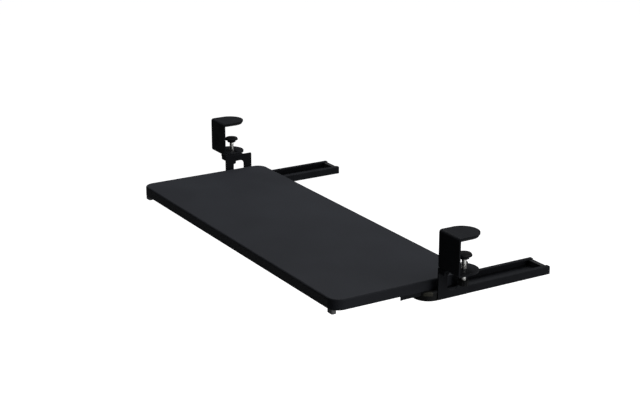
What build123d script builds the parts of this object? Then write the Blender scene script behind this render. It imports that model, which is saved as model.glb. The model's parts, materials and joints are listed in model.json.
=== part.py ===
from build123d import *
import os

# Keyboard tray that hangs under the front edge of a desk on two screw clamps.
# Millimetres. X runs along the desk edge, from the middle of the tray to the user's right.
# Y runs from the desk edge away from the user. Z is up from the top face of the desk.
# The tray is pulled right out. Each side piece is made on the right and mirrored to the left.

# Tray board
tray_width = 680.0
tray_depth = 254.0
board_thick = 18.0
corner_radius = 20.0
band_thick = 3.2
band_flat = 0.2
band_under_round = 1.0
tray_drop = 80.4

# Clamp, bent from one strip of steel
clamp_sheet = 3.0
clamp_width = 53.4
clamp_side_gap = 14.0
tongue_reach = 49.2
jaw_opening = 54.6
clamp_bend = 4.5
sheet_edge_round = 0.4
top_pad_thick = 3.0
top_pad_inset = 2.0

# Clamp screw, its nut, its knob and its swivelling pad
desk_thick = 30.0
screw_radius = 3.95
screw_reach = 26.4
screw_rise = 10.0
screw_fall = 13.75
running_clearance = 0.05
slack = 0.3
nut_flats = 13.0
nut_height = 5.0
knob_radius = 8.0
knob_height = 9.0
knob_base = 2.0
knob_round = 1.2
knob_gap = 1.0
flute_count = 10
flute_radius = 1.3
pad_radius = 11.5
pad_thick = 2.0
pad_chamfer = 0.5
cup_radius = 12.5
cup_disc = 2.0
collar_radius = 8.0
collar_height = 4.5
collar_floor = 1.4
button_radius = 5.2
button_height = 3.0

# Hanger, the windowed side plate between clamp and rail
hanger_sheet = 2.5
hanger_lead = 1.6
hanger_length = 55.8
hanger_corner = 1.2
hanger_rise = 1.6
window_width = 22.4
window_height = 31.0
window_setback = 17.0
window_drop = 11.7
window_corner = 8.0
flange_width = 19.8
flange_length = 39.0
flange_corner = 5.0
lug_width = 17.5
lug_height = 9.0

# Bolts from platform to hanger flange
bolt_radius = 2.4
bolt_head_radius = 4.4
bolt_head_height = 2.2
bolt_nut_flats = 8.0
bolt_nut_height = 3.6
bolt_tail = 1.6
bolt_side_inset = 10.0
bolt_first = 9.0
bolt_spacing = 22.0
hole_clearance = 0.15

# Rail, a steel channel with inward lips
rail_width = 52.0
rail_height = 14.0
rail_sheet = 2.0
rail_lip = 8.0
rail_bend = 1.5
rail_gap = 1.0
end_stop_length = 8.0
end_stop_gap = 4.0

# Runner, an upside-down channel screwed under the tray
runner_play = 4.5
runner_sheet = 1.6
runner_depth = 6.4
runner_length = 127.3
runner_setback = 4.4
ear_length = 3.0
ear_drop = 0.4

# Nylon guide in the mouth of the rail, with its glide inserts and its screw
head_play = 1.5
plug_length = 26.6
insert_land = 3.2
insert_depth = 5.0
insert_front = 7.0
insert_rear = 22.0
guide_screw_radius = 1.9
guide_screw_head = 3.8
guide_screw_cone = 1.9
guide_screw_length = 4.2
guide_screw_setback = 14.0

# Nylon shoe on the rear of the runner
shoe_length = 40.0
shoe_chamfer = 1.0
stop_gap = 1.0

# Wood screws into the board
wood_screw_radius = 1.75
wood_screw_bite = 11.0
wood_screw_point = 2.5
wood_head_radius = 3.4
wood_head_height = 1.9
runner_screw_count = 3
runner_screw_margin = 10.3
shoe_screw_pitch = 20.0
shoe_screw_sink = 5.0

# Rubber bumpers under the front corners, ahead of the rails
bumper_width = 15.0
bumper_length = 9.0
bumper_height = 7.6
bumper_corner = 3.0
bumper_edge_round = 0.8
bumper_front_setback = 6.7
bumper_offset = 2.0
bumper_screw_sink = 2.6

# Length that a cut runs past the faces it opens
overrun = 5.0

# Heights
tongue_bottom = top_pad_thick
tongue_top = tongue_bottom + clamp_sheet
platform_top = -jaw_opening
platform_bottom = platform_top - clamp_sheet
tray_top = -tray_drop
tray_bottom = tray_top - board_thick
rail_top = tray_bottom - rail_gap
rail_bottom = rail_top - rail_height
floor_top = rail_bottom + rail_sheet
lip_bottom = rail_top - rail_sheet
web_bottom = tray_bottom - runner_sheet
runner_bottom = tray_bottom - runner_depth
ear_bottom = runner_bottom - ear_drop
hanger_bottom = rail_bottom + hanger_rise
band_round = band_thick - band_flat

# Places across the tray, on the right
clamp_inner = tray_width / 2 + clamp_side_gap
clamp_mid = clamp_inner + clamp_width / 2
hanger_outer = clamp_inner
hanger_inner = hanger_outer - hanger_sheet
rail_mid = hanger_inner - rail_width / 2
cavity_half = rail_width / 2 - rail_sheet
slot_half = rail_width / 2 - rail_lip
wall_outer = slot_half - runner_play
wall_inner = wall_outer - runner_sheet
insert_inner = wall_outer + slack + insert_land
bumper_x = rail_mid - bumper_offset
bolt_x = clamp_inner + bolt_side_inset

# Places along the slide
rail_front = -hanger_lead
nose_front = rail_front - rail_width / 2
hanger_rear = rail_front + hanger_length
plug_rear = rail_front + plug_length
shoe_front = plug_rear + stop_gap
shoe_rear = shoe_front + shoe_length
runner_front = shoe_rear - runner_length
tray_rear = shoe_rear + runner_setback
tray_front = tray_rear - tray_depth
bumper_y = tray_front + bumper_front_setback
slide_travel = nose_front - (bumper_y + bumper_length / 2)
end_stop_front = shoe_rear + slide_travel + end_stop_gap
rail_rear = end_stop_front + end_stop_length
tongue_round_y = tongue_reach - clamp_width / 2

# Heights of the clamp screw at rest
pad_top = -desk_thick
cup_top = pad_top - pad_thick
disc_bottom = cup_top - cup_disc
collar_bottom = disc_bottom - collar_height
button_top = disc_bottom - slack
button_bottom = collar_bottom + collar_floor + slack
nut_bottom = platform_bottom - nut_height
knob_top = nut_bottom - knob_gap - screw_rise
knob_bottom = knob_top - knob_height


def block(x, y, z):
    """Box between a low and a high value on each axis."""
    middle = Pos((x[0] + x[1]) / 2, (y[0] + y[1]) / 2, (z[0] + z[1]) / 2)
    return middle * Box(x[1] - x[0], y[1] - y[0], z[1] - z[0])


def rod(x, y, z, radius):
    """Upright cylinder between two heights."""
    return Pos(x, y, (z[0] + z[1]) / 2) * Cylinder(radius, z[1] - z[0])


def cone(x, y, z, low_radius, high_radius):
    """Upright cone between two heights."""
    return Pos(x, y, (z[0] + z[1]) / 2) * Cone(low_radius, high_radius, z[1] - z[0])


def hexagon(x, y, z, flats):
    """Upright hexagonal prism between two heights."""
    face = Pos(x, y, z[0]) * RegularPolygon(flats / 2, 6, major_radius=False)
    return extrude(face, amount=z[1] - z[0])


def across(low, high):
    """Span across the rail, given from its middle line."""
    return (rail_mid + low, rail_mid + high)


def tongue_plan(inset, front, z):
    """Plan of the tongue: square at the desk edge and half round at its tip."""
    half = clamp_width / 2 - inset
    x = (clamp_mid - half, clamp_mid + half)
    straight = block(x, (front, tongue_round_y), z)
    tip = rod(clamp_mid, tongue_round_y, z, half) & block(x, (tongue_round_y, tongue_reach), z)
    return straight + tip


def bolt_places():
    """Places of the two bolts between platform and hanger flange."""
    return [(bolt_x, rail_front + bolt_first + i * bolt_spacing) for i in range(2)]


def bolt_holes():
    """Clearance holes for the bolts, through platform and flange."""
    z = (platform_bottom - hanger_sheet - overrun, platform_top + overrun)
    return [rod(x, y, z, bolt_radius + hole_clearance) for x, y in bolt_places()]


def clamp():
    """Tongue, strap and platform, one bent strip."""
    x = (clamp_mid - clamp_width / 2, clamp_mid + clamp_width / 2)
    outer = block(x, (-clamp_sheet, tongue_reach), (platform_bottom, tongue_top))
    outer = fillet(outer.edges().filter_by(Axis.X).group_by(Axis.Y)[0], clamp_bend)
    wide = (x[0] - overrun, x[1] + overrun)
    inner = block(wide, (0, tongue_reach + overrun), (platform_top, tongue_bottom))
    inner = fillet(inner.edges().filter_by(Axis.X).group_by(Axis.Y)[0], clamp_bend - clamp_sheet)
    strip = (outer - inner) & tongue_plan(0, -clamp_sheet, (platform_bottom, tongue_top))
    strip = fillet(strip.edges(), sheet_edge_round)
    hole_z = (platform_bottom - overrun, platform_top + overrun)
    strip -= rod(clamp_mid, screw_reach, hole_z, screw_radius + slack)
    for hole in bolt_holes():
        strip -= hole
    return strip


def top_pad():
    """Thin non-slip pad between tongue and desk, clear of the inside of the bend."""
    front = clamp_bend - clamp_sheet + slack
    return tongue_plan(top_pad_inset, front, (0, top_pad_thick))


def screw_nut():
    """Nut welded under the platform."""
    z = (nut_bottom, platform_bottom)
    bore_z = (nut_bottom - overrun, platform_bottom + overrun)
    nut = hexagon(clamp_mid, screw_reach, z, nut_flats)
    return nut - rod(clamp_mid, screw_reach, bore_z, screw_radius + running_clearance)


def clamp_screw():
    """Screw with the button that its swivelling cup holds."""
    shank = rod(clamp_mid, screw_reach, (knob_bottom + knob_base, button_bottom), screw_radius)
    return shank + rod(clamp_mid, screw_reach, (button_bottom, button_top), button_radius)


def knob():
    """Fluted hand knob on the lower end of the screw."""
    body = rod(clamp_mid, screw_reach, (knob_bottom, knob_top), knob_radius)
    body = fillet(body.edges(), knob_round)
    z = (knob_bottom - overrun, knob_top + overrun)
    ring = PolarLocations(knob_radius + flute_radius / 2, flute_count)
    for place in ring:
        body -= Pos(clamp_mid, screw_reach, 0) * place * rod(0, 0, z, flute_radius)
    bore = rod(clamp_mid, screw_reach, (knob_bottom + knob_base, z[1]), screw_radius + running_clearance)
    return body - bore


def pressure_cup():
    """Disc under the desk, with the collar that holds the screw's button."""
    disc = rod(clamp_mid, screw_reach, (disc_bottom, cup_top), cup_radius)
    collar = rod(clamp_mid, screw_reach, (collar_bottom, disc_bottom), collar_radius)
    hollow_z = (collar_bottom + collar_floor, disc_bottom)
    hollow = rod(clamp_mid, screw_reach, hollow_z, button_radius + slack)
    neck_z = (collar_bottom - overrun, hollow_z[0])
    neck = rod(clamp_mid, screw_reach, neck_z, screw_radius + slack)
    return disc + collar - hollow - neck


def cup_pad():
    """Rubber pad on the cup."""
    pad = rod(clamp_mid, screw_reach, (cup_top, pad_top), pad_radius)
    return chamfer(pad.edges().group_by(Axis.Z)[-1], pad_chamfer)


def hanger():
    """Side plate with a window, a flange under the platform and a front lug."""
    y = (rail_front, hanger_rear)
    plate = block((hanger_inner, hanger_outer), y, (hanger_bottom, platform_bottom))
    plate = fillet(plate.edges().filter_by(Axis.X), hanger_corner)
    window_y = (rail_front + window_setback, rail_front + window_setback + window_width)
    window_top = platform_bottom - window_drop
    window_z = (window_top - window_height, window_top)
    round_z = window_z[0] + window_width / 2
    cut_x = (hanger_inner - overrun, hanger_outer + overrun)
    opening = block(cut_x, window_y, (round_z, window_top))
    opening = fillet(opening.edges().filter_by(Axis.X).group_by(Axis.Z)[-1], window_corner)
    arch = Cylinder(window_width / 2, cut_x[1] - cut_x[0], rotation=(0, 90, 0))
    opening += Pos((cut_x[0] + cut_x[1]) / 2, (window_y[0] + window_y[1]) / 2, round_z) * arch
    plate -= opening
    flange_x = (hanger_outer, hanger_inner + flange_width)
    flange_z = (platform_bottom - hanger_sheet, platform_bottom)
    flange = block(flange_x, (rail_front, rail_front + flange_length), flange_z)
    outer_corners = flange.edges().filter_by(Axis.Z).group_by(Axis.X)[-1]
    flange = fillet(outer_corners.sort_by(Axis.Y)[-1], flange_corner)
    for hole in bolt_holes():
        flange -= hole
    lug_x = (hanger_inner, hanger_inner + lug_width)
    lug_y = (rail_front, rail_front + hanger_sheet)
    lug = block(lug_x, lug_y, (platform_bottom - lug_height, platform_bottom))
    lug = fillet(lug.edges().filter_by(Axis.Y).group_by(Axis.Z)[0], hanger_corner)
    return plate + flange + lug


def hanger_bolts():
    """Two pan-head bolts from platform to flange."""
    tail = platform_bottom - hanger_sheet - bolt_nut_height - bolt_tail
    bolts = []
    for x, y in bolt_places():
        head = rod(x, y, (platform_top, platform_top + bolt_head_height), bolt_head_radius)
        head = fillet(head.edges().group_by(Axis.Z)[-1], bolt_head_height / 2)
        bolts.append(head + rod(x, y, (tail, platform_top), bolt_radius))
    return Compound(children=bolts)


def hanger_nuts():
    """Nuts of the two bolts, under the flange."""
    z = (platform_bottom - hanger_sheet - bolt_nut_height, platform_bottom - hanger_sheet)
    bore_z = (z[0] - overrun, z[1] + overrun)
    nuts = []
    for x, y in bolt_places():
        bore = rod(x, y, bore_z, bolt_radius + running_clearance)
        nuts.append(hexagon(x, y, z, bolt_nut_flats) - bore)
    return Compound(children=nuts)


def guide_screw_shape(clearance):
    """Countersunk screw up through the rail floor, or its hole."""
    y = rail_front + guide_screw_setback
    cone_top = rail_bottom + guide_screw_cone
    low = guide_screw_head + clearance
    high = guide_screw_radius + clearance
    head = cone(rail_mid, y, (rail_bottom, cone_top), low, high)
    return head + rod(rail_mid, y, (cone_top, rail_bottom + guide_screw_length), high)


def rail():
    """Channel with inward lips, fixed to the hanger."""
    y = (rail_front, rail_rear)
    half = rail_width / 2
    body = block(across(-half, half), y, (rail_bottom, rail_top))
    body = fillet(body.edges().filter_by(Axis.Y), rail_bend)
    through = (y[0] - overrun, y[1] + overrun)
    body -= block(across(-cavity_half, cavity_half), through, (floor_top, lip_bottom))
    body -= block(across(-slot_half, slot_half), through, (lip_bottom, rail_top + overrun))
    return body - guide_screw_shape(hole_clearance)


def nose():
    """Half round front of the rail, before the runner's way is cut."""
    z = (rail_bottom, rail_top)
    half = rail_width / 2
    disc = rod(rail_mid, rail_front, z, half)
    disc = fillet(disc.edges(), rail_bend)
    return disc & block(across(-half, half), (nose_front, rail_front), z)


def insert_pockets():
    """Pockets in the nose for the two glide inserts."""
    half = rail_width / 2
    y = (rail_front - insert_rear, rail_front - insert_front)
    z = (rail_top - insert_depth, rail_top)
    right = block(across(insert_inner, half), y, z)
    left = block(across(-half, -insert_inner), y, z)
    return [right, left]


def front_guide():
    """Nylon nose and plug that carry the runner at the mouth of the rail."""
    plug_y = (rail_front, plug_rear)
    body = nose() + block(across(-cavity_half, cavity_half), plug_y, (floor_top, lip_bottom))
    body += block(across(-slot_half, slot_half), plug_y, (lip_bottom, rail_top))
    way_y = (nose_front - overrun, plug_rear + overrun)
    above = rail_top + overrun
    side = wall_outer + slack
    rib_outer = wall_inner - slack
    body -= block(across(-side, side), way_y, (web_bottom - slack, above))
    groove_z = (ear_bottom - slack, above)
    body -= block(across(-side, -rib_outer), way_y, groove_z)
    body -= block(across(rib_outer, side), way_y, groove_z)
    channel = wood_head_radius + head_play
    body -= block(across(-channel, channel), way_y, groove_z)
    for pocket in insert_pockets():
        body -= pocket
    return body - guide_screw_shape(hole_clearance)


def glide_inserts():
    """Pale nylon inserts on the shoulders of the nose."""
    return Compound(children=[(nose() & pocket) for pocket in insert_pockets()])


def end_stop():
    """Rubber stop in the rear end of the rail."""
    return block(across(-cavity_half, cavity_half), (end_stop_front, rail_rear), (floor_top, lip_bottom))


def rounded_board(width, depth, radius):
    """Flat board with round corners, at the tray's place."""
    x = (-width / 2, width / 2)
    middle = (tray_front + tray_rear) / 2
    board = block(x, (middle - depth / 2, middle + depth / 2), (tray_bottom, tray_top))
    return fillet(board.edges().filter_by(Axis.Z), radius)


def core_board():
    """Board inside its edge band, before the screw holes."""
    return rounded_board(tray_width - 2 * band_thick, tray_depth - 2 * band_thick,
                         corner_radius - band_thick)


def tray_edge_band():
    """Thin band round the edge of the board."""
    outer = rounded_board(tray_width, tray_depth, corner_radius)
    outer = fillet(outer.edges().group_by(Axis.Z)[-1], band_round)
    outer = fillet(outer.edges().group_by(Axis.Z)[0], band_under_round)
    return outer - core_board()


def runner_screw_places():
    """Places of the screws through the runner's web, on the right."""
    first = runner_front + runner_screw_margin
    pitch = (shoe_front - runner_screw_margin - first) / (runner_screw_count - 1)
    return [(rail_mid, first + i * pitch) for i in range(runner_screw_count)]


def shoe_screw_places():
    """Places of the two screws through the shoe, on the right."""
    middle = (shoe_front + shoe_rear) / 2
    return [(rail_mid, middle + share * shoe_screw_pitch) for share in (-0.5, 0.5)]


def wood_screw(x, y, head_top):
    """Pan-head wood screw up into the board."""
    point_top = tray_bottom + wood_screw_bite
    point_start = point_top - wood_screw_point
    head = rod(x, y, (head_top - wood_head_height, head_top), wood_head_radius)
    head = fillet(head.edges().group_by(Axis.Z)[0], wood_head_height / 2)
    shank = rod(x, y, (head_top, point_start), wood_screw_radius)
    point = cone(x, y, (point_start, point_top), wood_screw_radius, wood_screw_radius / 4)
    return head + shank + point


def wood_screw_hole(x, y, low):
    """Hole for a wood screw, from a height up into the board."""
    top = tray_bottom + wood_screw_bite + slack
    return rod(x, y, (low, top), wood_screw_radius + hole_clearance)


def tray_board():
    """Board with pilot holes on both sides."""
    board = core_board()
    places = runner_screw_places() + shoe_screw_places() + [(bumper_x, bumper_y)]
    for x, y in places:
        board -= wood_screw_hole(x, y, tray_bottom - overrun)
        board -= wood_screw_hole(-x, y, tray_bottom - overrun)
    return board


def runner():
    """Channel under the tray, open downwards, with an ear on each wall's front end."""
    y = (runner_front, shoe_rear)
    outer = block(across(-wall_outer, wall_outer), y, (runner_bottom, tray_bottom))
    ear_y = (runner_front, runner_front + ear_length)
    outer += block(across(-wall_outer, wall_outer), ear_y, (ear_bottom, runner_bottom))
    through = (y[0] - overrun, y[1] + overrun)
    body = outer - block(across(-wall_inner, wall_inner), through, (ear_bottom - overrun, web_bottom))
    for x, place in runner_screw_places() + shoe_screw_places():
        body -= wood_screw_hole(x, place, web_bottom - overrun)
    return body


def runner_screws():
    """Screws through the runner's web."""
    return Compound(children=[wood_screw(x, y, web_bottom) for x, y in runner_screw_places()])


def rear_shoe():
    """Nylon shoe that runs under the rail's lips."""
    y = (shoe_front, shoe_rear)
    half = cavity_half - slack
    body = block(across(-half, half), y, (floor_top + slack, lip_bottom - slack))
    body = chamfer(body.edges().filter_by(Axis.Z), shoe_chamfer)
    body += block(across(-wall_inner, wall_inner), y, (lip_bottom - slack, web_bottom))
    groove_z = (runner_bottom, tray_bottom)
    body -= block(across(-wall_outer, -wall_inner), y, groove_z)
    body -= block(across(wall_inner, wall_outer), y, groove_z)
    seat = web_bottom - shoe_screw_sink
    for x, place in shoe_screw_places():
        body -= wood_screw_hole(x, place, rail_bottom)
        body -= rod(x, place, (rail_bottom, seat), wood_head_radius + hole_clearance)
    return body


def shoe_screws():
    """Screws through the shoe and the runner's web."""
    seat = web_bottom - shoe_screw_sink
    return Compound(children=[wood_screw(x, y, seat) for x, y in shoe_screw_places()])


def front_bumper():
    """Rubber block that meets the nose when the tray is pushed in."""
    x = (bumper_x - bumper_width / 2, bumper_x + bumper_width / 2)
    y = (bumper_y - bumper_length / 2, bumper_y + bumper_length / 2)
    body = block(x, y, (tray_bottom - bumper_height, tray_bottom))
    body = fillet(body.edges().filter_by(Axis.Z), bumper_corner)
    body = fillet(body.edges().group_by(Axis.Z)[0], bumper_edge_round)
    below = tray_bottom - bumper_height - overrun
    seat = tray_bottom - bumper_height + bumper_screw_sink
    body -= rod(bumper_x, bumper_y, (below, seat), wood_head_radius + hole_clearance)
    return body - wood_screw_hole(bumper_x, bumper_y, below)


def bumper_screw():
    """Screw that holds the bumper."""
    return wood_screw(bumper_x, bumper_y, tray_bottom - bumper_height + bumper_screw_sink)


side_pieces = {
    "clamp": clamp(),
    "top_pad": top_pad(),
    "screw_nut": screw_nut(),
    "clamp_screw": clamp_screw(),
    "screw_knob": knob(),
    "pressure_cup": pressure_cup(),
    "cup_pad": cup_pad(),
    "hanger": hanger(),
    "hanger_bolts": hanger_bolts(),
    "hanger_nuts": hanger_nuts(),
    "rail": rail(),
    "front_guide": front_guide(),
    "glide_inserts": glide_inserts(),
    "guide_screw": guide_screw_shape(0),
    "end_stop": end_stop(),
    "runner": runner(),
    "runner_screws": runner_screws(),
    "rear_shoe": rear_shoe(),
    "shoe_screws": shoe_screws(),
    "front_bumper": front_bumper(),
    "bumper_screw": bumper_screw(),
}

os.makedirs("parts", exist_ok=True)
export_step(tray_board(), "parts/tray_board.step")
export_step(tray_edge_band(), "parts/tray_edge_band.step")
for name, shape in side_pieces.items():
    export_step(shape, f"parts/right_{name}.step")
    export_step(mirror(shape, about=Plane.YZ), f"parts/left_{name}.step")
print("Slide travel", slide_travel)
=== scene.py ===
import json
from math import cos, pi, radians, sin, sqrt

import bmesh
import bpy
from mathutils import Matrix, Vector


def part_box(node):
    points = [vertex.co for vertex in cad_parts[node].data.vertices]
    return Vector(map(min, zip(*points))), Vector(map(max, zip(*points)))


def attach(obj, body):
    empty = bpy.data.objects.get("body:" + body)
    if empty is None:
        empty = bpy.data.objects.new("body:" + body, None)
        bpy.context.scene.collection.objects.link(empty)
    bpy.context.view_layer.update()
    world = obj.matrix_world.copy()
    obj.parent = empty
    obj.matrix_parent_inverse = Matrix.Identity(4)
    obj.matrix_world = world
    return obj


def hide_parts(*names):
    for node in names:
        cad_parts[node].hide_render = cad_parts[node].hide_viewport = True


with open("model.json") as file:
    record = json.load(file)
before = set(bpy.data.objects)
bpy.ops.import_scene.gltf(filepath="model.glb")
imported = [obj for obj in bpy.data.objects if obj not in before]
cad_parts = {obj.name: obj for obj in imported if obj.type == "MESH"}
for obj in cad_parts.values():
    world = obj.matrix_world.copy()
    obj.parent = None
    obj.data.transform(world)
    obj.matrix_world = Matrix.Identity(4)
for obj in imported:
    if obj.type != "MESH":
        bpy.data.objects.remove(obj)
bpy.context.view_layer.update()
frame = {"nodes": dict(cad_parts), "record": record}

# Keyboard tray that hangs under a desk edge, in metres.
# X runs along the desk edge, Y from the user in under the desk, Z up.
slot_of = {part["node"]: part["material_slot"] for part in frame["record"]["subparts"]}
sides = ("left", "right")
mm = 0.001

# Camera, at the photograph's viewing angle
camera_place = (2.1214, -1.2834, 0.7654)
camera_azimuth = 58.87
camera_elevation = 18.14
camera_lens = 84.66
camera_sensor = 36.0

# Studio
floor_height = -0.74
floor_half = 30.0
floor_colour = (0.42, 0.42, 0.42, 1)
floor_roughness = 0.9
floor_glow = 0.97
white = (1, 1, 1, 1)
room_tone = (0.93, 0.97, 1.0, 1)
room_strength = 0.13
back_way = (0.8829, 0.4695, 0.0)
back_span = (-0.1, 0.8)
back_tones = (0.1, 1.0)
room_tones = (0.25, 1.3)
floor_fade = 2.5
key_place = (-0.4, 0.42, 1.6)
key_aim = (0.05, -0.05, -0.1)
key_size = 1.4
key_power = 38.0
side_place = (2.4, 0.9, 0.6)
side_aim = (0.3, 0.0, -0.1)
side_size = 1.5
side_power = 26.5

# Colours of the finishes, linear
laminate_colour = (0.0190, 0.0202, 0.0239)
laminate_cloud = (0.0225, 0.0240, 0.0284)
# Edge band base tone: its own black, darkened further to paint the shade on the tray's front face
band_colour_with_painted_shade = (0.0155, 0.0165, 0.0197)
band_cloud = (0.0200, 0.0213, 0.0252)
coat_colour = (0.0128, 0.0136, 0.0158)
coat_cloud = (0.0102, 0.0107, 0.0125)
coat_worn = (0.0420, 0.0430, 0.0450)
zinc_colour = (0.72, 0.72, 0.71)
zinc_dull = (0.56, 0.56, 0.54)
# Black nylon tone: its own black, darkened further to paint the shade under the tray
nylon_colour_with_painted_shade = (0.0070, 0.0071, 0.0075)
nylon_rub = (0.0150, 0.0153, 0.0158)
# Pale nylon tones: darkened far below their own pale colour to paint the shade under the tray
pale_colour_in_painted_shade = (0.045, 0.044, 0.036)
pale_cloud_in_painted_shade = (0.034, 0.033, 0.027)
rubber_colour = (0.0280, 0.0284, 0.0294)
rubber_bloom = (0.0370, 0.0374, 0.0385)
bumper_colour = (0.140, 0.140, 0.142)
bumper_bloom = (0.170, 0.170, 0.172)

# Cloud, grain and wear, shared by the finishes
cloud_detail = 4.0
cloud_roughness = 0.55
cloud_span = (0.36, 0.66)
grain_detail = 2.0
coarse_scale_share = 0.22
coarse_detail = 1.0
speckle_span = (0.42, 0.62)
speckle_swing = 0.03
wear_samples = 6
wear_bend_span = (0.99, 0.86)
wear_patch_scale = 260.0
wear_patch_detail = 3.0
wear_patch_span = (0.35, 0.7)

# Sockets of a Mix node that mixes colours
mix_share, mix_low, mix_high, mix_result = 0, 6, 7, 2

# Sockets of a Map Range node
range_ends = ("From Min", "From Max", "To Min", "To Max")

# Threads, whose outline is given in shares of the pitch, at the root (0) or the crest (1)
spare_turns = 2
thread_depth_share = 0.6134
thread_shares = ((0.0, 0), (0.25, 0), (0.5625, 1), (0.6875, 1))
thread_steps = 28
clamp_thread_radius = 3.95 * mm
clamp_thread_pitch = 1.25 * mm
bolt_thread_radius = 2.4 * mm
bolt_thread_pitch = 0.8 * mm
wood_thread_radius = 1.75 * mm
wood_thread_pitch = 1.3 * mm
guide_thread_radius = 1.9 * mm
guide_thread_pitch = 0.7 * mm

# Heads and nuts
head_steps = 24
crown_flat_share = 0.7
crown_rim_share = 0.45
crown_turns = (0.0, 0.3, 0.6, 0.9, 1.2, pi / 2)
bolt_head_height = 2.2 * mm
wood_head_height = 1.9 * mm
wood_point_length = 2.5 * mm
guide_cone_height = 1.9 * mm
button_height = 2.5 * mm
button_edge = 0.4 * mm
clamp_nut_flats = 13.0 * mm
bolt_nut_flats = 8.0 * mm
nut_sides = 6
nut_lead = 0.3 * mm
nut_clearance = 0.05 * mm
recess_reach_share = 0.5
recess_width_share = 0.26
recess_depth_share = 0.55
recess_lean = 0.12 * mm
weld_limit = 0.002 * mm
cut_limit = weld_limit / 10
crease_angle = 32.0


# Node trees

def add(tree, kind, **settings):
    """Adds a node with its settings."""
    made = tree.nodes.new(kind)
    for name, value in settings.items():
        setattr(made, name, value)
    return made


def wire(tree, source, target):
    """Joins one socket to another."""
    tree.links.new(source, target)


def feed(tree, socket, value):
    """Sets a socket to a number or colour, or joins another socket to it."""
    if isinstance(value, (int, float, tuple)):
        socket.default_value = value
    else:
        wire(tree, value, socket)


def new_group(name, inputs, outputs):
    """Starts a shader node group with named sockets and their defaults."""
    tree = bpy.data.node_groups.new(name, "ShaderNodeTree")
    for label, kind, value in inputs:
        socket = tree.interface.new_socket(label, in_out="INPUT", socket_type=kind)
        if value is not None:
            socket.default_value = value
    for label, kind in outputs:
        tree.interface.new_socket(label, in_out="OUTPUT", socket_type=kind)
    return tree, add(tree, "NodeGroupInput").outputs, add(tree, "NodeGroupOutput").inputs


def noise(tree, vector, scale, detail, roughness=0.5):
    """Noise on a vector."""
    made = add(tree, "ShaderNodeTexNoise")
    made.inputs["Detail"].default_value = detail
    made.inputs["Roughness"].default_value = roughness
    wire(tree, vector, made.inputs["Vector"])
    feed(tree, made.inputs["Scale"], scale)
    return made.outputs["Fac"]


def span(tree, value, low, high, to_low=0.0, to_high=1.0):
    """Maps a value from one range to another, clamped."""
    made = add(tree, "ShaderNodeMapRange")
    for label, end in zip(range_ends, (low, high, to_low, to_high)):
        feed(tree, made.inputs[label], end)
    wire(tree, value, made.inputs["Value"])
    return made.outputs["Result"]


def blend_colours(tree, share, low, high):
    """Mixes two colours by a mask."""
    made = add(tree, "ShaderNodeMix", data_type="RGBA")
    wire(tree, share, made.inputs[mix_share])
    feed(tree, made.inputs[mix_low], low)
    feed(tree, made.inputs[mix_high], high)
    return made.outputs[mix_result]


def calculate(tree, operation, first, second):
    """One sum on two values."""
    made = add(tree, "ShaderNodeMath", operation=operation)
    for socket, value in zip(made.inputs, (first, second)):
        feed(tree, socket, value)
    return made.outputs[0]


def cloudy_tone():
    """Slow drift between two tones of one finish."""
    tree, given, out = new_group(
        "cloudy_tone",
        [("Vector", "NodeSocketVector", None), ("Tone", "NodeSocketColor", white),
         ("Cloud", "NodeSocketColor", white), ("Scale", "NodeSocketFloat", 10.0)],
        [("Colour", "NodeSocketColor"), ("Mask", "NodeSocketFloat")])
    cloud = noise(tree, given["Vector"], given["Scale"], cloud_detail, cloud_roughness)
    mask = span(tree, cloud, *cloud_span)
    wire(tree, blend_colours(tree, mask, given["Tone"], given["Cloud"]), out["Colour"])
    wire(tree, mask, out["Mask"])
    return tree


def fine_grain():
    """Height of a fine moulded or sprayed grain, with a coarser one under it."""
    tree, given, out = new_group(
        "fine_grain",
        [("Vector", "NodeSocketVector", None), ("Scale", "NodeSocketFloat", 900.0),
         ("Coarse Share", "NodeSocketFloat", 0.35)],
        [("Height", "NodeSocketFloat"), ("Speckle", "NodeSocketFloat")])
    fine = noise(tree, given["Vector"], given["Scale"], grain_detail)
    coarse_scale = calculate(tree, "MULTIPLY", given["Scale"], coarse_scale_share)
    coarse = noise(tree, given["Vector"], coarse_scale, coarse_detail)
    weighed = calculate(tree, "MULTIPLY", coarse, given["Coarse Share"])
    height = calculate(tree, "ADD", fine, weighed)
    wire(tree, height, out["Height"])
    wire(tree, span(tree, fine, *speckle_span), out["Speckle"])
    return tree


def worn_edges():
    """Mask of the outer edges, broken up by noise, from the bend of the surface."""
    tree, given, out = new_group(
        "worn_edges",
        [("Vector", "NodeSocketVector", None), ("Width", "NodeSocketFloat", 0.6 * mm),
         ("Wear", "NodeSocketFloat", 0.6)],
        [("Mask", "NodeSocketFloat")])
    softened = add(tree, "ShaderNodeBevel", samples=wear_samples)
    wire(tree, given["Width"], softened.inputs["Radius"])
    true_normal = add(tree, "ShaderNodeNewGeometry").outputs["Normal"]
    alike = add(tree, "ShaderNodeVectorMath", operation="DOT_PRODUCT")
    wire(tree, softened.outputs["Normal"], alike.inputs[0])
    wire(tree, true_normal, alike.inputs[1])
    edge = span(tree, alike.outputs["Value"], *wear_bend_span)
    patch = span(tree, noise(tree, given["Vector"], wear_patch_scale, wear_patch_detail), *wear_patch_span)
    worn = calculate(tree, "MULTIPLY", calculate(tree, "MULTIPLY", edge, patch), given["Wear"])
    wire(tree, worn, out["Mask"])
    return tree


groups = {"tone": cloudy_tone(), "grain": fine_grain(), "edges": worn_edges()}


def place_group(tree, which, vector, **values):
    """Places a shared group in a material, with its own values."""
    made = add(tree, "ShaderNodeGroup")
    made.node_tree = groups[which]
    wire(tree, vector, made.inputs["Vector"])
    for label, value in values.items():
        made.inputs[label.replace("_", " ")].default_value = value
    return made.outputs


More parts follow.
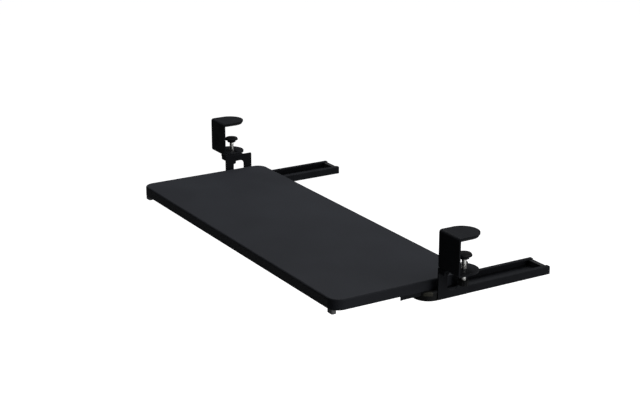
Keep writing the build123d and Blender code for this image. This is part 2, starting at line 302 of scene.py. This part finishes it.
def finish_of(name, tone, cloud, cloud_scale, rough, grain, depth, **shader_values):
    """Material with drifting tone, uneven roughness and a grain, ready for edge wear.

    rough is the lowest and highest roughness; grain is the grain's scale and coarse share."""
    made = bpy.data.materials.new(name)
    made.use_nodes = True
    tree = made.node_tree
    shader = tree.nodes["Principled BSDF"]
    for label, value in shader_values.items():
        shader.inputs[label.replace("_", " ")].default_value = value
    vector = add(tree, "ShaderNodeTexCoord").outputs["Object"]
    drift = place_group(tree, "tone", vector, Tone=(*tone, 1), Cloud=(*cloud, 1), Scale=cloud_scale)
    grained = place_group(tree, "grain", vector, Scale=grain[0], Coarse_Share=grain[1])
    wire(tree, drift["Colour"], shader.inputs["Base Color"])
    uneven = span(tree, drift["Mask"], 0.0, 1.0, *rough)
    flecked = span(tree, grained["Speckle"], 0.0, 1.0, -speckle_swing, speckle_swing)
    wire(tree, calculate(tree, "ADD", uneven, flecked), shader.inputs["Roughness"])
    bump = add(tree, "ShaderNodeBump")
    bump.inputs["Distance"].default_value = depth
    bump.inputs["Strength"].default_value = 1.0
    wire(tree, grained["Height"], bump.inputs["Height"])
    wire(tree, bump.outputs["Normal"], shader.inputs["Normal"])
    return made, tree, shader, vector, drift


def with_worn_edges(parts, worn_tone, width, wear):
    """Adds edge wear to a finish."""
    made, tree, shader, vector, drift = parts
    mask = place_group(tree, "edges", vector, Width=width, Wear=wear)["Mask"]
    worn = blend_colours(tree, mask, drift["Colour"], (*worn_tone, 1))
    wire(tree, worn, shader.inputs["Base Color"])
    return made


def black_laminate():
    """Satin black laminate with a fine pebble."""
    return finish_of("black_laminate", laminate_colour, laminate_cloud, cloud_scale=7.0, rough=(0.52, 0.62),
                     grain=(1500.0, 0.5), depth=0.012 * mm, Specular_IOR_Level=0.03)[0]


def edge_band():
    """Black edge band, a little smoother than the laminate, its base tone darkened below its own black to
    paint the shade on the tray's front face.
    """
    parts = finish_of("edge_band", band_colour_with_painted_shade, band_cloud, cloud_scale=12.0, rough=(0.45, 0.55),
                      grain=(1100.0, 0.3), depth=0.010 * mm, Specular_IOR_Level=0.03)
    return with_worn_edges(parts, coat_worn, width=0.5 * mm, wear=0.25)


def powder_coat():
    """Satin black powder coat with orange peel and lighter edges."""
    parts = finish_of("powder_coat", coat_colour, coat_cloud, cloud_scale=40.0, rough=(0.42, 0.55),
                      grain=(750.0, 0.8), depth=0.030 * mm, Specular_IOR_Level=0.02)
    return with_worn_edges(parts, coat_worn, width=0.5 * mm, wear=0.7)


def zinc_plate():
    """Bright zinc on steel, clouded and finely grained."""
    parts = finish_of("zinc_plate", zinc_colour, zinc_dull, cloud_scale=120.0, rough=(0.22, 0.38),
                      grain=(1600.0, 0.6), depth=0.006 * mm, Metallic=1.0)
    return with_worn_edges(parts, zinc_colour, width=0.2 * mm, wear=0.5)


def black_nylon():
    """Moulded black nylon with a spark-eroded grain, its black darkened further to paint the shade under
    the tray.
    """
    parts = finish_of("black_nylon", nylon_colour_with_painted_shade, nylon_rub, cloud_scale=60.0, rough=(0.5, 0.66),
                      grain=(620.0, 0.5), depth=0.025 * mm, Specular_IOR_Level=0.03)
    return with_worn_edges(parts, nylon_rub, width=0.4 * mm, wear=0.5)


def pale_nylon():
    """Moulded pale nylon, waxy and slightly uneven, its pale colour darkened far down to paint the shade
    under the tray.
    """
    parts = finish_of("pale_nylon", pale_colour_in_painted_shade, pale_cloud_in_painted_shade, cloud_scale=90.0, rough=(0.4, 0.52),
                      grain=(500.0, 0.6), depth=0.015 * mm, Specular_IOR_Level=0.06)
    return with_worn_edges(parts, pale_colour_in_painted_shade, width=0.3 * mm, wear=0.3)


def matt_rubber(name, tone, bloom):
    """Matt rubber with a bloom."""
    return finish_of(name, tone, bloom, cloud_scale=70.0, rough=(0.78, 0.9), grain=(380.0, 0.7),
                     depth=0.040 * mm, Specular_IOR_Level=0.02)[0]


finishes = {
    "black_laminate": black_laminate(),
    "edge_band": edge_band(),
    "black_steel": powder_coat(),
    "zinc_steel": zinc_plate(),
    "black_nylon": black_nylon(),
    "pale_nylon": pale_nylon(),
    "black_rubber": matt_rubber("black_rubber", rubber_colour, rubber_bloom),
}
bumper_finish = matt_rubber("bumper_rubber", bumper_colour, bumper_bloom)


def finish_frame_nodes():
    """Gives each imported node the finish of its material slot, and the bumpers a greyer rubber."""
    for node, slot in slot_of.items():
        for held in frame["nodes"][node].material_slots:
            held.material = bumper_finish if node.endswith("_front_bumper") else finishes[slot]


# Meshes

def merge(bm):
    """Merges doubles and turns the faces outwards."""
    bmesh.ops.remove_doubles(bm, verts=bm.verts, dist=weld_limit)
    bmesh.ops.recalc_face_normals(bm, faces=bm.faces)


def cut_off(bm, point, facing):
    """Cuts away what lies past a plane and closes the cut."""
    point, facing = Vector(point), Vector(facing)
    everything = bm.verts[:] + bm.edges[:] + bm.faces[:]
    bmesh.ops.bisect_plane(bm, geom=everything, dist=cut_limit, plane_co=point, plane_no=facing,
                           clear_outer=True)
    rim = [edge for edge in bm.edges if edge.is_boundary
           and all(abs((corner.co - point).dot(facing)) < weld_limit for corner in edge.verts)]
    bmesh.ops.contextual_create(bm, geom=rim)


def turned(profile, steps=head_steps, ring=False):
    """Round solid about Z from (radius, height) points: a line from axis to axis, or a closed ring."""
    bm = bmesh.new()
    line = [bm.verts.new((radius, 0, height)) for radius, height in profile]
    edges = [bm.edges.new(pair) for pair in zip(line, line[1:] + line[:1] if ring else line[1:])]
    bmesh.ops.spin(bm, geom=line + edges, cent=(0, 0, 0), axis=(0, 0, 1), angle=2 * pi, steps=steps,
                   use_merge=True)
    merge(bm)
    return bm


def threaded(crest, pitch, low, high):
    """Right-handed threaded rod about Z between two heights, closed at both ends."""
    bm = bmesh.new()
    root = crest - pitch * thread_depth_share
    turns = int((high - low) / pitch) + 2 * spare_turns
    start = low - spare_turns * pitch
    line = [bm.verts.new((crest if top else root, 0, start + (turn + share) * pitch))
            for turn in range(turns) for share, top in thread_shares]
    edges = [bm.edges.new(pair) for pair in zip(line, line[1:])]
    bmesh.ops.spin(bm, geom=line + edges, cent=(0, 0, 0), axis=(0, 0, 1), angle=2 * pi,
                   steps=thread_steps, dvec=(0, 0, pitch / thread_steps))
    bmesh.ops.remove_doubles(bm, verts=bm.verts, dist=weld_limit)
    cut_off(bm, (0, 0, high), (0, 0, 1))
    cut_off(bm, (0, 0, low), (0, 0, -1))
    merge(bm)
    return bm


def sink_cross(bm, head_radius, depth):
    """Sinks a cross recess with leaning walls in the top of a turned head."""
    reach = head_radius * recess_reach_share
    half = reach * recess_width_share
    for axis in (Vector((1, 0, 0)), Vector((0, 1, 0))):
        for place in (-reach, -half, half, reach):
            everything = bm.verts[:] + bm.edges[:] + bm.faces[:]
            bmesh.ops.bisect_plane(bm, geom=everything, dist=cut_limit, plane_co=axis * place,
                                   plane_no=axis)
    cross = []
    for face in bm.faces:
        middle = face.calc_center_median()
        near, far = sorted((abs(middle.x), abs(middle.y)))
        if face.normal.z > 0.5 and near < half and far < reach:
            cross.append(face)
    bmesh.ops.inset_region(bm, faces=cross, thickness=recess_lean, depth=-depth, use_boundary=True,
                           use_even_offset=True)


def pan_head(radius, height):
    """Pan head with a cross recess, standing on the origin."""
    flat, rim = radius * crown_flat_share, height * crown_rim_share
    crown = [(flat + (radius - flat) * sin(turn), rim + (height - rim) * cos(turn)) for turn in crown_turns]
    bm = turned([(0, height), *crown, (radius, 0), (0, 0)])
    sink_cross(bm, radius, height * recess_depth_share)
    return bm


def countersunk_head(radius, neck_radius, height):
    """Flat head on a cone with a cross recess, its face at the origin."""
    bm = turned([(0, 0), (radius, 0), (neck_radius, -height), (0, -height)])
    sink_cross(bm, radius, height * recess_depth_share)
    return bm


def hex_nut(flats, bore, low, high):
    """Hexagonal nut about Z with turned chamfers, its corners along X."""
    corner = flats / sqrt(3)
    chamfer = (corner - flats / 2) / sqrt(3)
    mouth = bore + nut_lead
    bm = turned([(bore, low + nut_lead), (mouth, low), (flats / 2, low), (corner, low + chamfer),
                 (corner, high - chamfer), (flats / 2, high), (mouth, high), (bore, high - nut_lead)],
                2 * head_steps, ring=True)
    for flat in range(nut_sides):
        turn = 2 * pi * (flat + 0.5) / nut_sides
        facing = Vector((cos(turn), sin(turn), 0))
        cut_off(bm, facing * flats / 2, facing)
    merge(bm)
    return bm


def join_into(target, source, place, flipped=False):
    """Adds one mesh to another at a place, upside down where asked."""
    if flipped:
        bmesh.ops.rotate(source, verts=source.verts, cent=(0, 0, 0), matrix=Matrix.Rotation(pi, 3, "X"))
    bmesh.ops.translate(source, verts=source.verts, vec=place)
    carrier = bpy.data.meshes.new("carrier")
    source.to_mesh(carrier)
    target.from_mesh(carrier)
    bpy.data.meshes.remove(carrier)
    source.free()


def make_piece(name, bm, body, slot, *nodes):
    """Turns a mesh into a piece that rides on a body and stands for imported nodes."""
    mesh = bpy.data.meshes.new(name)
    bm.to_mesh(mesh)
    bm.free()
    mesh.materials.append(finishes[slot])
    mesh.shade_smooth()
    mesh.set_sharp_from_angle(angle=radians(crease_angle))
    piece = bpy.data.objects.new(name, mesh)
    bpy.context.scene.collection.objects.link(piece)
    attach(piece, body)
    if nodes:
        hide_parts(*nodes)
    return piece


def row_of(node, count, reach):
    """Places in plan of equal fasteners in a row along Y, each reaching so far from its middle."""
    low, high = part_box(node)
    x, first, last = (low.x + high.x) / 2, low.y + reach, high.y - reach
    if count == 1:
        return [(x, (first + last) / 2)]
    return [(x, first + (last - first) * turn / (count - 1)) for turn in range(count)]


# Fasteners

def clamp_screw(side):
    """Threaded screw with the button that its cup holds."""
    node = f"{side}_clamp_screw"
    low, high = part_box(node)
    button = (high.x - low.x) / 2
    face = button - button_edge
    neck = high.z - button_height
    place = (*row_of(node, 1, button)[0], 0)
    bm = bmesh.new()
    join_into(bm, threaded(clamp_thread_radius, clamp_thread_pitch, low.z, neck), place)
    join_into(bm, turned([(0, neck), (face, neck), (button, neck + button_edge),
                          (button, high.z - button_edge), (face, high.z), (0, high.z)]), place)
    make_piece(f"{side}_threaded_screw", bm, f"{side}_screw", "zinc_steel", node)


def clamp_nut(side):
    """Nut welded under the platform."""
    node = f"{side}_screw_nut"
    low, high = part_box(node)
    bm = bmesh.new()
    place = (*row_of(node, 1, clamp_nut_flats / 2)[0], 0)
    join_into(bm, hex_nut(clamp_nut_flats, clamp_thread_radius + nut_clearance, low.z, high.z), place)
    make_piece(f"{side}_weld_nut", bm, "desk_mount", slot_of[node], node)


def platform_bolts(side):
    """Two bolts with recessed pan heads down through platform and flange."""
    node = f"{side}_hanger_bolts"
    low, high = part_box(node)
    head = (high.x - low.x) / 2
    seat = high.z - bolt_head_height
    bm = bmesh.new()
    for place in row_of(node, 2, head):
        join_into(bm, pan_head(head, bolt_head_height), (*place, seat))
        join_into(bm, threaded(bolt_thread_radius, bolt_thread_pitch, low.z, seat), (*place, 0))
    make_piece(f"{side}_platform_bolts", bm, "desk_mount", slot_of[node], node)


def platform_nuts(side):
    """Nuts of the platform bolts."""
    node = f"{side}_hanger_nuts"
    low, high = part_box(node)
    bm = bmesh.new()
    bore = bolt_thread_radius + nut_clearance
    for place in row_of(node, 2, bolt_nut_flats / 2):
        join_into(bm, hex_nut(bolt_nut_flats, bore, low.z, high.z), (*place, 0))
    make_piece(f"{side}_platform_nuts", bm, "desk_mount", slot_of[node], node)


def wood_screws(side, which, count):
    """Pan-head wood screws up into the board."""
    node = f"{side}_{which}"
    low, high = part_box(node)
    head = (high.x - low.x) / 2
    seat = low.z + wood_head_height
    point = high.z - wood_point_length
    root = wood_thread_radius - wood_thread_pitch * thread_depth_share
    bm = bmesh.new()
    for place in row_of(node, count, head):
        join_into(bm, pan_head(head, wood_head_height), (*place, seat), flipped=True)
        join_into(bm, threaded(wood_thread_radius, wood_thread_pitch, seat, point), (*place, 0))
        join_into(bm, turned([(0, point), (root, point), (0, high.z)]), (*place, 0))
    make_piece(f"{side}_threaded_{which}", bm, "tray", slot_of[node], node)


def guide_screw(side):
    """Countersunk screw up through the rail floor into the nose."""
    node = f"{side}_guide_screw"
    low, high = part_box(node)
    head = (high.x - low.x) / 2
    place = row_of(node, 1, head)[0]
    cone_top = low.z + guide_cone_height
    bm = bmesh.new()
    join_into(bm, countersunk_head(head, guide_thread_radius, guide_cone_height), (*place, low.z),
              flipped=True)
    join_into(bm, threaded(guide_thread_radius, guide_thread_pitch, cone_top, high.z), (*place, 0))
    make_piece(f"{side}_countersunk_screw", bm, "desk_mount", slot_of[node], node)


# Studio

def aim(thing, place, target):
    """Puts a lamp at a place and turns it to a target."""
    thing.location = place
    thing.rotation_mode = "QUATERNION"
    thing.rotation_quaternion = (Vector(target) - Vector(place)).to_track_quat("-Z", "Y")


def soft_lamp(name, place, target, size, power):
    """Square soft box."""
    data = bpy.data.lights.new(name, "AREA")
    data.shape = "SQUARE"
    data.size = size
    data.energy = power
    lamp = bpy.data.objects.new(name, data)
    bpy.context.scene.collection.objects.link(lamp)
    aim(lamp, place, target)


def seen_directly(tree):
    """One where a camera, glossy or transmission ray looks, else nothing."""
    path = add(tree, "ShaderNodeLightPath").outputs
    looks = calculate(tree, "MAXIMUM", path["Is Camera Ray"], path["Is Glossy Ray"])
    return calculate(tree, "MAXIMUM", looks, path["Is Transmission Ray"])


def brighter_back(tree, along, tones):
    """Tone that rises softly from the user's side to the back and right."""
    made = add(tree, "ShaderNodeMapRange", interpolation_type="SMOOTHSTEP")
    for label, end in zip(range_ends, (*back_span, *tones)):
        made.inputs[label].default_value = end
    wire(tree, along, made.inputs["Value"])
    return made.outputs["Result"]


def white_unless_glossy(tree, along):
    """White where it is looked at, and graded where it is reflected."""
    glossy = add(tree, "ShaderNodeLightPath").outputs["Is Glossy Ray"]
    return span(tree, glossy, 0.0, 1.0, 1.0, brighter_back(tree, along, back_tones))


def along_back(tree, vector):
    """Part of a vector that points to the back and right."""
    made = add(tree, "ShaderNodeVectorMath", operation="DOT_PRODUCT")
    made.inputs[1].default_value = back_way
    wire(tree, vector, made.inputs[0])
    return made.outputs["Value"]


def pale_floor():
    """Plain pale floor that looks white and keeps a shadow, and that is looked through from below."""
    bm = bmesh.new()
    bmesh.ops.create_grid(bm, x_segments=1, y_segments=1, size=floor_half)
    bmesh.ops.translate(bm, verts=bm.verts, vec=(0, 0, floor_height))
    mesh = bpy.data.meshes.new("floor")
    bm.to_mesh(mesh)
    bm.free()
    paint = bpy.data.materials.new("pale_floor")
    paint.use_nodes = True
    tree = paint.node_tree
    shader = tree.nodes["Principled BSDF"]
    shader.inputs["Base Color"].default_value = floor_colour
    shader.inputs["Roughness"].default_value = floor_roughness
    shader.inputs["Specular IOR Level"].default_value = 0.0
    shader.inputs["Emission Color"].default_value = white
    object_place = add(tree, "ShaderNodeTexCoord").outputs["Object"]
    nearness = calculate(tree, "MULTIPLY", along_back(tree, object_place), 1 / floor_fade)
    shade = calculate(tree, "MULTIPLY", white_unless_glossy(tree, nearness), floor_glow)
    glow = calculate(tree, "MULTIPLY", seen_directly(tree), shade)
    wire(tree, glow, shader.inputs["Emission Strength"])
    below = calculate(tree, "MULTIPLY", add(tree, "ShaderNodeNewGeometry").outputs["Backfacing"],
                      add(tree, "ShaderNodeLightPath").outputs["Is Camera Ray"])
    mix = add(tree, "ShaderNodeMixShader")
    wire(tree, below, mix.inputs["Fac"])
    wire(tree, shader.outputs[0], mix.inputs[1])
    wire(tree, add(tree, "ShaderNodeBsdfTransparent").outputs[0], mix.inputs[2])
    wire(tree, mix.outputs[0], tree.nodes["Material Output"].inputs["Surface"])
    mesh.materials.append(paint)
    floor = bpy.data.objects.new("floor", mesh)
    bpy.context.scene.collection.objects.link(floor)


def white_room():
    """World that is white where it is looked at and dim as a lamp."""
    room = bpy.data.worlds.new("white_room")
    bpy.context.scene.world = room
    room.use_nodes = True
    tree = room.node_tree
    tree.nodes.clear()
    dim = add(tree, "ShaderNodeBackground")
    dim.inputs["Color"].default_value = room_tone
    bright = add(tree, "ShaderNodeBackground")
    bright.inputs["Color"].default_value = white
    along = along_back(tree, add(tree, "ShaderNodeTexCoord").outputs["Generated"])
    graded = brighter_back(tree, along, room_tones)
    wire(tree, calculate(tree, "MULTIPLY", graded, room_strength), dim.inputs["Strength"])
    wire(tree, white_unless_glossy(tree, along), bright.inputs["Strength"])
    mix = add(tree, "ShaderNodeMixShader")
    wire(tree, seen_directly(tree), mix.inputs["Fac"])
    wire(tree, dim.outputs[0], mix.inputs[1])
    wire(tree, bright.outputs[0], mix.inputs[2])
    wire(tree, mix.outputs[0], add(tree, "ShaderNodeOutputWorld").inputs["Surface"])


def camera():
    """Camera at the photograph's viewing angle."""
    data = bpy.data.cameras.new("camera")
    data.lens = camera_lens
    data.sensor_width = camera_sensor
    data.clip_end = 2 * floor_half
    turn, rise = radians(camera_azimuth), radians(camera_elevation)
    back = Vector((sin(turn) * cos(rise), -cos(turn) * cos(rise), sin(rise)))
    right = Vector((cos(turn), sin(turn), 0))
    facing = Matrix((right, back.cross(right), back)).transposed()
    made = bpy.data.objects.new("camera", data)
    bpy.context.scene.collection.objects.link(made)
    made.matrix_world = Matrix.Translation(camera_place) @ facing.to_4x4()
    bpy.context.scene.camera = made


finish_frame_nodes()
for side in sides:
    clamp_screw(side)
    clamp_nut(side)
    platform_bolts(side)
    platform_nuts(side)
    wood_screws(side, "runner_screws", 3)
    wood_screws(side, "shoe_screws", 2)
    wood_screws(side, "bumper_screw", 1)
    guide_screw(side)
pale_floor()
white_room()
soft_lamp("key_lamp", key_place, key_aim, key_size, key_power)
soft_lamp("side_lamp", side_place, side_aim, side_size, side_power)
camera()
bpy.context.scene.view_settings.view_transform = "Standard"
